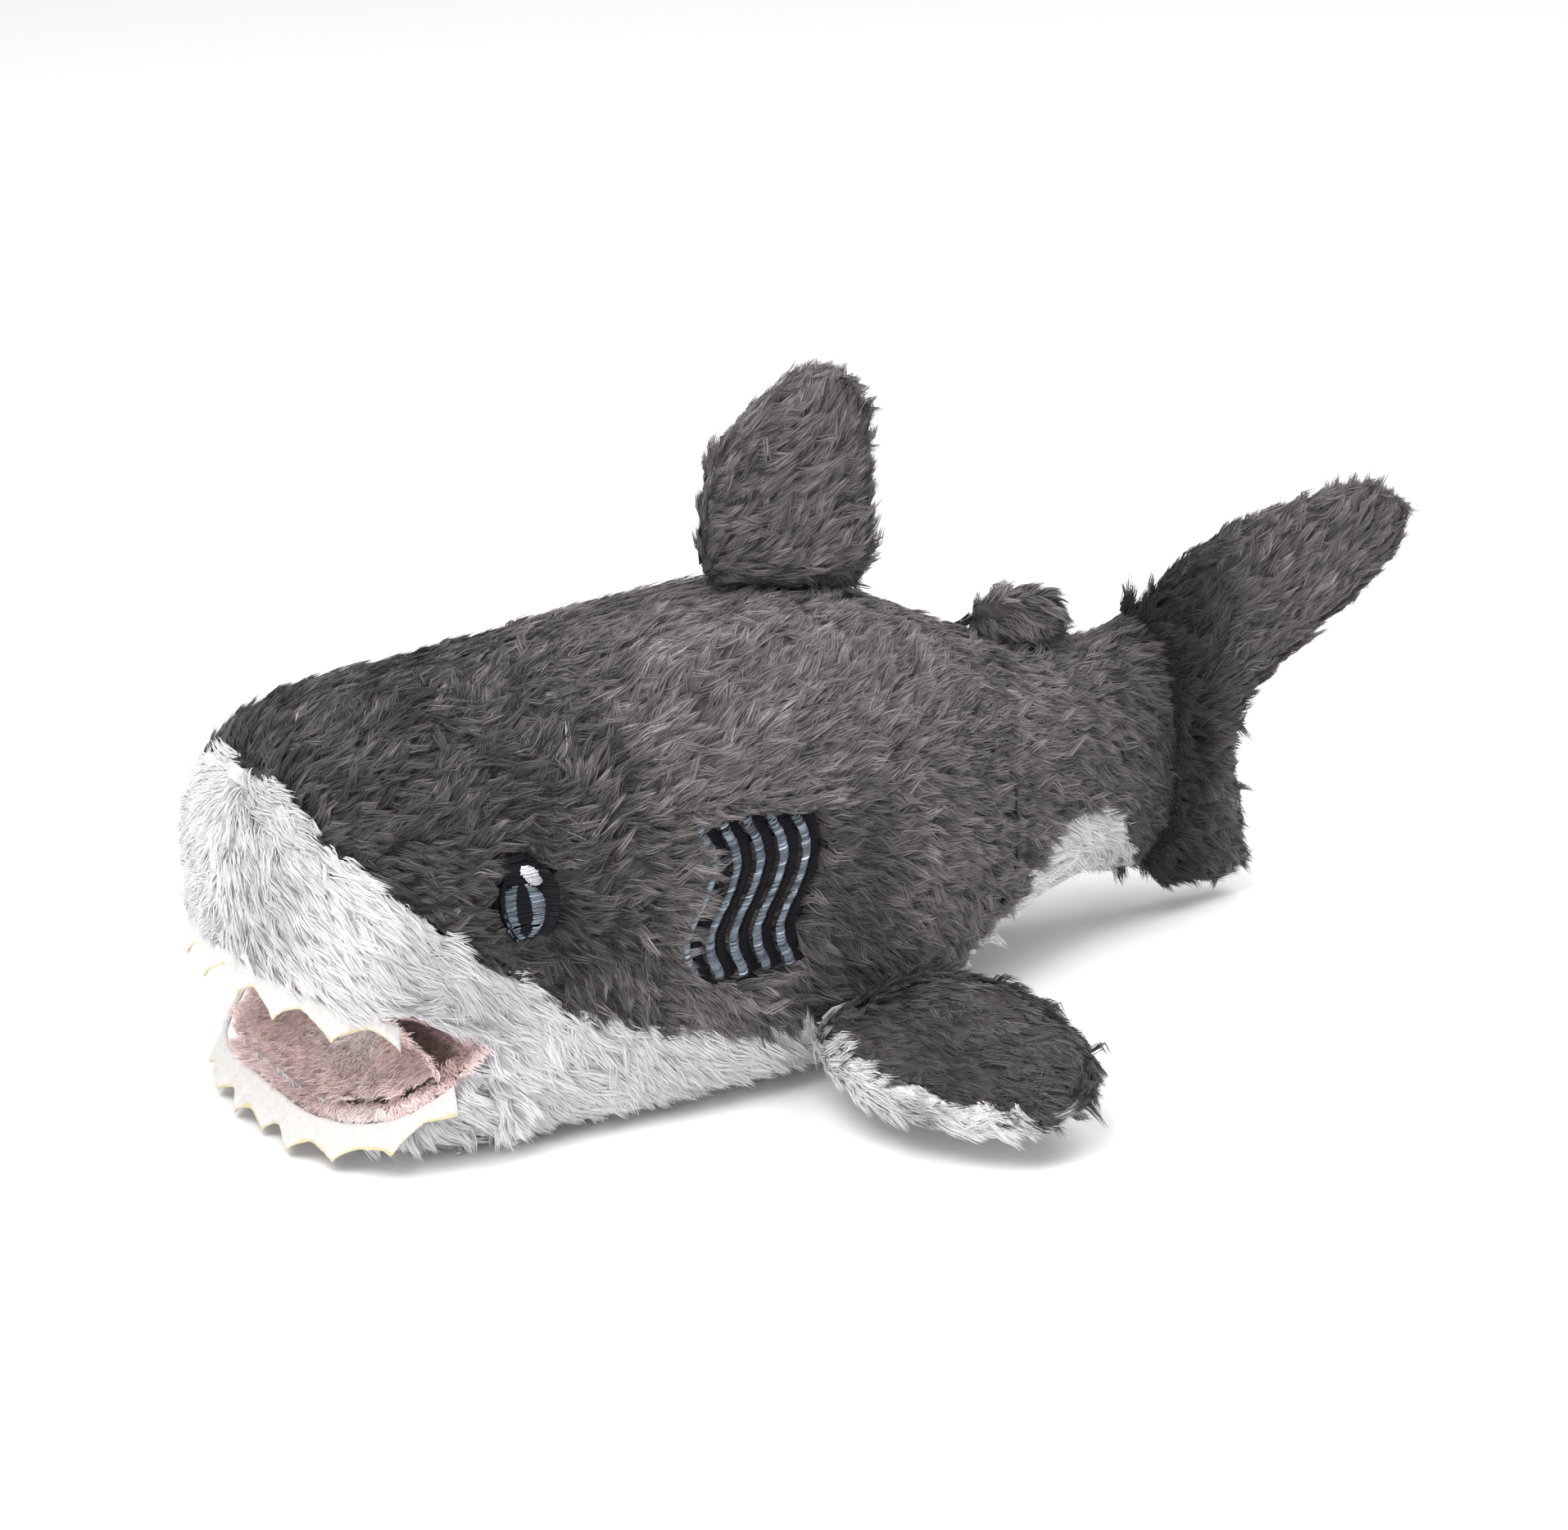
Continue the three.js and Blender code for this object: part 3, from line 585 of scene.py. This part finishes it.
def grow(name, node_name, flow, look, colour, bodies, slot_name, where=everywhere, density=CLUMPS, swirl=0.3,
         shorn=trimmed):
    """Fur or pile on the open faces of one node, where where(points, faces) says so."""
    is_fur = look["material"] is not PINK_PILE
    points, faces = scatter(node_name, density)
    kept = (shorn(points) > 0.12) & where(points, faces)
    points, faces = points[kept], faces[kept]
    normals = skin_normals.at(points, faces)
    if is_fur:
        kept = (normals * faces).sum(1) > CUT_EDGE
        kept &= ~on_floor(points, normals) | (RNG.random(len(points)) < UNDERNEATH)
        points, normals = points[kept], normals[kept]
    to_panel, toward = to_seam(node_name, points)
    points = points + tongue_rise(node_name, points) + raised(points)
    if node_name == "mouth_floor_lining":  # its pile spreads over its seam with the rim
        points = MOUTH_CENTRE + (points - MOUTH_CENTRE) * (1 + RIM_OVERLAP * RNG.random((len(points), 1)))
    angle = swirl * (0.8 * ripples(points, 0.018, 3) + 0.6 * ripples(points, 0.007, 4))
    angle += RNG.normal(0, 0.16, len(points))
    direction = turned(flow(points, normals), normals, angle)
    if is_fur and BODY_OF[node_name] in ONE_SKIN:
        points = folded_over(points, direction)
    closing = 1.6 * np.clip(1.25 - to_panel / (4.5 * MM), 0, 1)[:, None]  # pile by a seam leans over it
    direction = along_surface(direction + closing * toward, normals)
    scale = shorn(points) ** 0.5 * np.where(on_floor(points, normals), PRESSED, 1)
    blotches = 0.12 * ripples(points, 0.03, 5) + look["contrast"] * ripples(points, 0.008, 6)
    tone = colour * (1 + blotches)[:, None]
    # Painted shade: the grey pile is darkened near a seam with another panel, and where in_shade says.
    if look["root_shade"] < 0.9:
        out_of_seam_shade = np.clip(to_panel / (4.0 * MM), 0, 1)
        tone = tone * ((0.45 + 0.55 * out_of_seam_shade) * (1 - in_shade(points)))[:, None]
    tone = tone * np.exp(RNG.normal(0, look["contrast"], (len(points), 1)))
    piece = fur_mesh(name, points, normals, direction, look, tone, scale)
    move_with(piece, bodies)


def in_head(points, faces):
    return points[:, 1] < HEAD_END_Y


def in_loin(points, faces):
    return points[:, 1] >= LOIN_START_Y


def in_shoulder(points, faces):
    return ~in_head(points, faces) & ~in_loin(points, faces)


def in_belly_front(points, faces):
    return points[:, 1] < BELLY_SPLIT_Y


def in_belly_rear(points, faces):
    return points[:, 1] >= BELLY_SPLIT_Y


def grey_fur(name, node_name, flow, bodies, look=LONG_FUR, colour=GREY, **more):
    grow(name, node_name, flow, look, colour, bodies, "grey_fur", **more)


def white_fur(name, node_name, flow, bodies, look=WHITE_FUR, **more):
    grow(name, node_name, flow, look, WHITE, bodies, "white_fur", **more)


def pink_pile(name, node_name, flow, bodies, look=SHORT_PILE, **more):
    grow(name, node_name, flow, look, PINK, bodies, "pink_lining", **more)


for side_name, side in (("left", 1), ("right", -1)):
    back = f"back_panel_{side_name}"
    grey_fur(f"fur_head_{side_name}", back, body_flow, "torso", HEAD_FUR, where=in_head, swirl=0.6)
    grey_fur(f"fur_shoulder_{side_name}", back, body_flow, "torso", where=in_shoulder, swirl=0.22)
    grey_fur(f"fur_loin_{side_name}", back, body_flow, TORSO_TAIL, where=in_loin, swirl=0.22)
    grey_fur(f"fur_tail_{side_name}", f"tail_panel_{side_name}", body_flow, TORSO_TAIL, swirl=0.25)
    for fin, flow, look in (
        ("dorsal", steady_flow(0, 1, 0.75), FIN_FUR),
        ("rear_dorsal", steady_flow(0, 0.8, -0.5), LONG_FUR),
        ("tail", tail_fin_flow, FIN_FUR),
    ):
        body = f"{fin}_fin"
        piece_name = "fur_tail_fin" if fin == "tail" else f"fur_{fin}"  # "fur_tail" is the tail's own
        grey_fur(f"{piece_name}_{side_name}", f"{body}_panel_{side_name}", flow, body, look)
    fin = f"pectoral_{side_name}"
    grey_fur(f"fur_{fin}_top", f"{fin}_top_panel", pectoral_flow(side), fin, FIN_FUR, PECTORAL_GREY,
             swirl=0.25)
    white_fur(f"fur_{fin}_under", f"{fin}_under_panel", pectoral_flow(side), fin, WHITE_FIN_FUR)
    grey_fur(f"fur_gills_{side_name}", back, steady_flow(0, 1, -0.2), "torso", FLAT_FUR, GREY * 0.8,
             where=lambda points, faces: over_gills(points), density=1.3, swirl=0.2,
             shorn=lambda points: np.ones(len(points)))

white_fur("fur_snout", "snout_panel", snout_flow, "torso", where=lambda points, faces: faces[:, 2] > -0.55)
white_fur("fur_belly_front", "belly_panel", body_flow, TORSO_JAW, where=in_belly_front)
white_fur("fur_belly_rear", "belly_panel", body_flow, TORSO_TAIL, where=in_belly_rear)
white_fur("fur_jaw", "jaw_panel", body_flow, TORSO_JAW, where=lambda points, faces: ~is_rim(points, faces))
white_fur("fur_tail_underside", "tail_underside_panel", body_flow, TORSO_TAIL)
pink_pile("pile_palate", "palate_lining", steady_flow(0, 1, 0), "torso", density=1.2)
pink_pile("pile_throat", "body_stuffing", steady_flow(0, -1, 0), "torso", density=1.2,
          where=lambda points, faces: in_mouth(points))
pink_pile("pile_mouth_floor", "mouth_floor_lining", steady_flow(0.3, -1, 0), "jaw", density=1.8)
pink_pile("pile_mouth_rim", "jaw_panel", outward_flow, "jaw", RIM_PILE, density=1.8, where=is_rim)


# ---------------------------------------------------------------- backing cloth under the pile
def remeshed(name, node_name, voxel, rounds=0):
    """A node's solid as an even, closed mesh, its edges rounded off in so many rounds of smoothing."""
    points, corners = triangles(node_name)
    mesh = bpy.data.meshes.new(name)
    mesh.from_pydata(points.tolist(), [], corners.tolist())
    piece = bpy.data.objects.new(name, mesh)
    bpy.context.scene.collection.objects.link(piece)
    modifier = piece.modifiers.new("even", "REMESH")
    modifier.mode = "VOXEL"
    modifier.voxel_size = voxel
    if rounds:
        smoothing = piece.modifiers.new("soft", "SMOOTH")
        smoothing.factor = 0.5
        smoothing.iterations = rounds
    evaluated = piece.evaluated_get(bpy.context.evaluated_depsgraph_get())
    piece.data = bpy.data.meshes.new_from_object(evaluated)
    piece.modifiers.clear()
    piece.data.name = name
    return piece


def mesh_arrays(mesh):
    points = np.empty(len(mesh.vertices) * 3, np.float32)
    normals = np.empty(len(mesh.vertices) * 3, np.float32)
    mesh.vertices.foreach_get("co", points)
    mesh.vertex_normals.foreach_get("vector", normals)
    return points.reshape(-1, 3).astype(float), normals.reshape(-1, 3).astype(float)


def write_points(mesh, points):
    mesh.vertices.foreach_set("co", np.ascontiguousarray(points, np.float32).ravel())
    mesh.update()


def backing(node_name, bodies, colour, replaced=(), *, sunk=BACKING_DEPTH, closed=0.15 * MM,
            lined=None):
    """The cloth of one panel. Its outer faces are sunk below the pile and the others by closed.

    Thin places are let down less. lined(points, normals) says where it is mouth lining.
    """
    piece = remeshed(f"cloth_{node_name}", node_name, 1.3 * MM)
    points, normals = mesh_arrays(piece.data)
    is_open = np.array([
        ALL_SOLIDS.ray_cast(Vector(p + n * 1.2 * MM), Vector(n), SEAM_CLEAR)[0] is None
        for p, n in zip(points, normals)
    ])
    embroidered = (trimmed(points) < 0.3) & (normals[:, 0] * np.sign(points[:, 0]) > 0.3)
    own = tree_of([node_name])
    found = (own.ray_cast(Vector(p - n * 0.6 * MM), Vector(-n))[3] for p, n in zip(points, normals))
    thickness = np.array([0.6 * MM if t is None else t + 0.6 * MM for t in found])
    outer = is_open & ((skin_normals.at(points, normals) * normals).sum(1) > CUT_EDGE)
    push = np.where(outer, np.minimum(sunk, 0.75 * thickness), np.minimum(closed, 0.2 * thickness))
    push += np.where(embroidered, 1.1 * MM, 0) + np.where(outer, 0.2 * MM, 0) * ripples(points, 0.006, 9)
    moved = points - normals * push[:, None] + tongue_rise(node_name, points)
    moved[:, 2] = np.maximum(moved[:, 2], FLOOR_CLEAR)
    write_points(piece.data, moved)
    colours = np.broadcast_to(colour, points.shape)
    if lined:
        colours = np.where(lined(points, normals)[:, None], PINK_BACK, colours)
    set_tone(piece.data, colours * (1 + 0.1 * ripples(points, 0.004, 10))[:, None])
    piece.data.materials.clear()
    piece.data.materials.append(BACKING)
    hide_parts(node_name, *replaced)
    move_with(piece, bodies)


# Backing colours: the cloth under each pile, its colour made darker as painted shade seen between the strands;
# the grey one much darker
GREY_BACK, WHITE_BACK, PINK_BACK = GREY * 0.28, WHITE * 0.9, PINK * 0.9
for side_name in ("left", "right"):
    stuffed = side_name == "left"
    backing(f"back_panel_{side_name}", TORSO_TAIL, GREY_BACK)
    inner = ["tail_stuffing"] if stuffed else []
    backing(f"tail_panel_{side_name}", TORSO_TAIL, GREY_BACK, inner, closed=1.6 * MM)
    for fin, sunk in (("dorsal_fin", 1.6 * MM), ("tail_fin", 2.0 * MM), ("rear_dorsal_fin", 0.8 * MM)):
        inner = [f"{fin}_stuffing"] if stuffed and f"{fin}_stuffing" in NODES else []
        backing(f"{fin}_panel_{side_name}", fin, GREY_BACK, inner, sunk=sunk)
    fin = f"pectoral_{side_name}"
    backing(f"{fin}_top_panel", fin, GREY_BACK, [f"{fin}_stuffing"])
    backing(f"{fin}_under_panel", fin, WHITE_BACK)
backing("snout_panel", "torso", WHITE_BACK)
backing("belly_panel", TORSO_JAW, WHITE_BACK)
backing("jaw_panel", TORSO_JAW, WHITE_BACK, ["jaw_stuffing"], lined=lambda p, n: by_lip(p))
backing("tail_underside_panel", TORSO_TAIL, WHITE_BACK)
backing("body_stuffing", TORSO_TAIL, GREY_BACK, sunk=0.8 * MM, lined=lambda p, n: in_mouth(p))
backing("palate_lining", "torso", PINK_BACK, sunk=0.6 * MM)
backing("mouth_floor_lining", "jaw", PINK_BACK, sunk=0.6 * MM)


# ---------------------------------------------------------------- felt teeth
TOOTH_REACH = 0.16  # half of a tooth and a bit, as an angle about the mouth's middle


def felt_band(name, node_name, body):
    """A band of felt teeth: the valleys between them rounded, the free edge waved and its rim yellowed."""
    piece = remeshed(name, node_name, 0.42 * MM, rounds=45)
    points, normals = mesh_arrays(piece.data)
    at = np.arctan2(points[:, 0], MOUTH_CENTRE[1] - points[:, 1])
    levels, which = np.unique(np.round(at, 2), return_inverse=True)
    foot = np.full(len(levels), np.inf)
    np.minimum.at(foot, which, points[:, 2])
    about = [foot[np.abs(levels - a) < TOOTH_REACH] for a in levels]
    tip, valley = np.array([a.min() for a in about]), np.array([a.max() for a in about])
    part = np.clip((foot - tip) / np.maximum(valley - tip, 0.1 * MM), 0, 1)
    scallop = (part**0.55 - part) * (valley - tip)
    above = points[:, 2] - np.interp(at, levels, foot)
    points[:, 2] += np.interp(at, levels, scallop) * np.clip(1 - above / (5 * MM), 0, 1)
    free = np.clip(1 - above / (4 * MM), 0, 1)
    sway = 0.6 * MM * ripples(points, 0.016, 11) * free + 0.06 * MM * ripples(points, 0.0018, 12)
    write_points(piece.data, points + unit(outward(points)) * sway[:, None] - normals * 0.12 * MM)
    edge = np.clip((1.1 * MM + 0.25 * MM * ripples(points, 0.003, 13) - above) / (0.5 * MM), 0, 1)
    tone = FELT_WHITE * (1 - edge[:, None] * 0.75) + EDGE_YELLOW * edge[:, None] * 0.75
    set_tone(piece.data, tone * (1 + 0.02 * ripples(points, 0.002, 14))[:, None])
    piece.data.materials.clear()
    piece.data.materials.append(FELT)
    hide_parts(node_name)
    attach(piece, body)


felt_band("felt_upper_teeth", "upper_teeth_strip", "torso")
felt_band("felt_lower_teeth", "lower_teeth_strip", "jaw")


# ---------------------------------------------------------------- embroidery
def thread_mesh(name, paths, radius, tones, body, node_names):
    """Threads as round tubes along paths of equal length, one tone each."""
    paths = np.asarray(paths)
    total, steps = paths.shape[:2]
    around = 6
    tangent = unit(np.gradient(paths, axis=1))
    out = np.broadcast_to(np.array([np.sign(paths[..., 0].mean()), 0, 0.15]), paths.shape)
    across = unit(np.cross(tangent, out))
    lifted = unit(np.cross(across, tangent))
    turn = 2 * np.pi * np.arange(around) / around
    ring = (paths[:, :, None] + radius * (np.cos(turn)[:, None] * across[:, :, None]
            + np.sin(turn)[:, None] * lifted[:, :, None]))
    points = ring.reshape(-1, 3)
    i, j, k = np.meshgrid(np.arange(total), np.arange(steps - 1), np.arange(around), indexing="ij")
    base = (i * steps + j) * around
    nxt = (k + 1) % around
    corners = np.stack([base + k, base + nxt, base + around + nxt, base + around + k], axis=-1).ravel()
    starts = np.arange(total * (steps - 1) * around) * 4
    tone = np.repeat(tones, steps * around, axis=0)
    piece = mesh_piece(name, points, corners, starts, THREAD, tone)
    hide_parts(*node_names)
    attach(piece, body)


def on_skin(side, y, z, lift):
    """The point at (y, z) on the recessed skin on one side, raised by lift."""
    hit, normal, _, _ = SKIN[side].ray_cast(Vector((side * BESIDE, y, z)), Vector((-side, 0, 0)))
    return np.array(hit + normal * lift)


SKIN = {side: tree_of([f"back_panel_{name}"]) for name, side in (("left", 1), ("right", -1))}


def satin(side, ends, lift, arch, steps=6):
    """One stitch from ends[0] to ends[1], each (y, z), bowed up in its middle."""
    (y0, z0), (y1, z1) = ends
    return [on_skin(side, y0 + (y1 - y0) * t, z0 + (z1 - z0) * t, lift + arch * math.sin(math.pi * t))
            for t in np.linspace(0, 1, steps)]


def oval_stitches(side, y, z, half_y, half_z, pitch, lift, arch, gap=None, slope=0.0):
    """Level stitches that fill an oval, with an oval gap left open in it. A sloped one shifts with height."""
    paths = []
    for row in np.arange(z - half_z, z + half_z, pitch):
        wide = half_y * math.sqrt(max(0, 1 - ((row - z) / half_z) ** 2)) + RNG.normal(0, 0.12 * MM)
        if wide < 0.4 * MM:
            continue
        shift = slope * (row - z)
        runs = [(shift - wide, shift + wide)]
        if gap:
            inner = gap[1] * math.sqrt(max(0, 1 - ((row - gap[2]) / gap[3]) ** 2)) + RNG.normal(0, 0.1 * MM)
            centre = gap[0] - y
            runs = [(-wide, centre - inner), (centre + inner, wide)] if inner > 0.2 * MM else runs
        for start, end in runs:
            if end - start > 0.5 * MM:
                paths.append(satin(side, ((y + start, row + RNG.normal(0, 0.06 * MM)),
                                          (y + end, row + RNG.normal(0, 0.06 * MM))), lift, arch))
    return paths


def tones_for(paths, colour, spread):
    return colour * np.exp(RNG.normal(0, spread, (len(paths), 1)))


def middle(node_name):
    low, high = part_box(node_name)
    return (low + high) / 2, (high - low) / 2


for side_name, side in (("left", 1), ("right", -1)):
    centre, half = middle(f"eye_base_{side_name}")
    base = oval_stitches(side, centre.y, centre.z - 0.5 * MM, half.y * 1.15, half.z * 0.92, 0.36 * MM,
                         1.5 * MM, 0.7 * MM)
    thread_mesh(f"stitched_eye_base_{side_name}", base, 0.24 * MM, tones_for(base, BLACK_THREAD, 0.3),
                "torso", [f"eye_base_{side_name}"])
    centre, half = middle(f"eye_iris_{side_name}")
    iris = oval_stitches(side, centre.y, centre.z + 0.3 * MM, half.y * 1.15, half.z + 0.6 * MM, 0.40 * MM,
                         2.2 * MM, 0.35 * MM,
                         gap=(centre.y + 0.3 * MM, 1.7 * MM, centre.z + 0.6 * MM, 5.4 * MM))
    thread_mesh(f"stitched_eye_iris_{side_name}", iris, 0.2 * MM, tones_for(iris, BLUE_THREAD, 0.35), "torso",
                [f"eye_iris_{side_name}"])
    centre, half = middle(f"eye_highlight_{side_name}")
    glint = oval_stitches(side, centre.y + 0.7 * MM, centre.z - 0.9 * MM, half.y * 0.65, half.z * 0.95,
                          0.36 * MM, 2.5 * MM, 0.45 * MM, slope=-0.55)
    thread_mesh(f"stitched_eye_highlight_{side_name}", glint, 0.22 * MM, tones_for(glint, PALE_THREAD, 0.15),
                "torso", [f"eye_highlight_{side_name}"])


def gill_stitches(side, node_name, half, pitch, lift, arch, slant):
    heights, places = strip_centre(node_name)
    paths = []
    for z in np.arange(heights[0], heights[-1], pitch):
        y = np.interp(z, heights, places)
        wide = half + RNG.normal(0, 0.06 * MM)
        paths.append(satin(side, ((y - wide, z - slant), (y + wide, z + slant)), lift, arch))
    return paths


for side_name, side in (("left", 1), ("right", -1)):
    for i in range(1, 6):
        for kind, half, lift, arch, colour, spread, slot_name in (
            ("line", 0.85 * MM, 1.3 * MM, 0.8 * MM, BLUE_THREAD, 0.5, "blue_thread"),
            ("shade", 1.0 * MM, 1.1 * MM, 0.4 * MM, BLACK_THREAD, 0.3, "black_thread"),
        ):
            name = f"gill_{i}_{kind}_{side_name}"
            paths = gill_stitches(side, name, half, 0.40 * MM, lift, arch, 0.35 * MM)
            thread_mesh(f"stitched_{name}", paths, 0.23 * MM, tones_for(paths, colour, spread), "torso",
                        [name])

# ---------------------------------------------------------------- camera, lights and floor
AIM = Vector((0, 0, 0.045))
AZIMUTH, ELEVATION, DISTANCE = math.radians(58.9), math.radians(21.2), 1.1


def around(azimuth, elevation, distance):
    level = distance * math.cos(elevation)
    return AIM + Vector((math.sin(azimuth) * level, -math.cos(azimuth) * level, distance * math.sin(elevation)))


def aimed(thing, place, target):
    thing.location = place
    thing.rotation_euler = (target - place).to_track_quat("-Z", "Y").to_euler()
    bpy.context.scene.collection.objects.link(thing)


lens = bpy.data.cameras.new("camera")
lens.lens = 116.8
lens.shift_x, lens.shift_y = -0.012, 0.0246
camera = bpy.data.objects.new("camera", lens)
aimed(camera, around(AZIMUTH, ELEVATION, DISTANCE), AIM)
bpy.context.scene.camera = camera

for light_name, azimuth, elevation, distance, size, power in (
    ("key", 20, 60, 1.3, 0.9, 15), ("front", 48, 8, 1.5, 0.9, 4.0), ("rim", 170, 60, 1.3, 0.8, 10),
):
    lamp = bpy.data.lights.new(light_name, "AREA")
    lamp.size = size
    lamp.energy = power
    place = around(math.radians(azimuth), math.radians(elevation), distance)
    aimed(bpy.data.objects.new(light_name, lamp), place, AIM)

bounce = bpy.data.lights.new("mouth_bounce", "AREA")
bounce.size = 0.10
bounce.energy = 0.55
MOUTH = Vector((0, -0.118, 0.022))
aimed(bpy.data.objects.new("mouth_bounce", bounce), MOUTH + Vector((0.20, -0.36, 0.03)), MOUTH)

world = bpy.data.worlds.new("studio")
world.use_nodes = True
world.node_tree.nodes["Background"].inputs["Color"].default_value = (1, 1, 1, 1)
world.node_tree.nodes["Background"].inputs["Strength"].default_value = 0.62
bpy.context.scene.world = world
bpy.context.scene.view_settings.view_transform = "Standard"

floor_material, floor_tree, floor_shader = new_material("floor", 0.9, 0.1)
floor_shader.inputs["Base Color"].default_value = (0.9, 0.9, 0.9, 1)
floor = mesh_piece("floor", np.array([[-3, -3, 0], [3, -3, 0], [3, 3, 0], [-3, 3, 0]]), np.arange(4), [0],
                   floor_material)
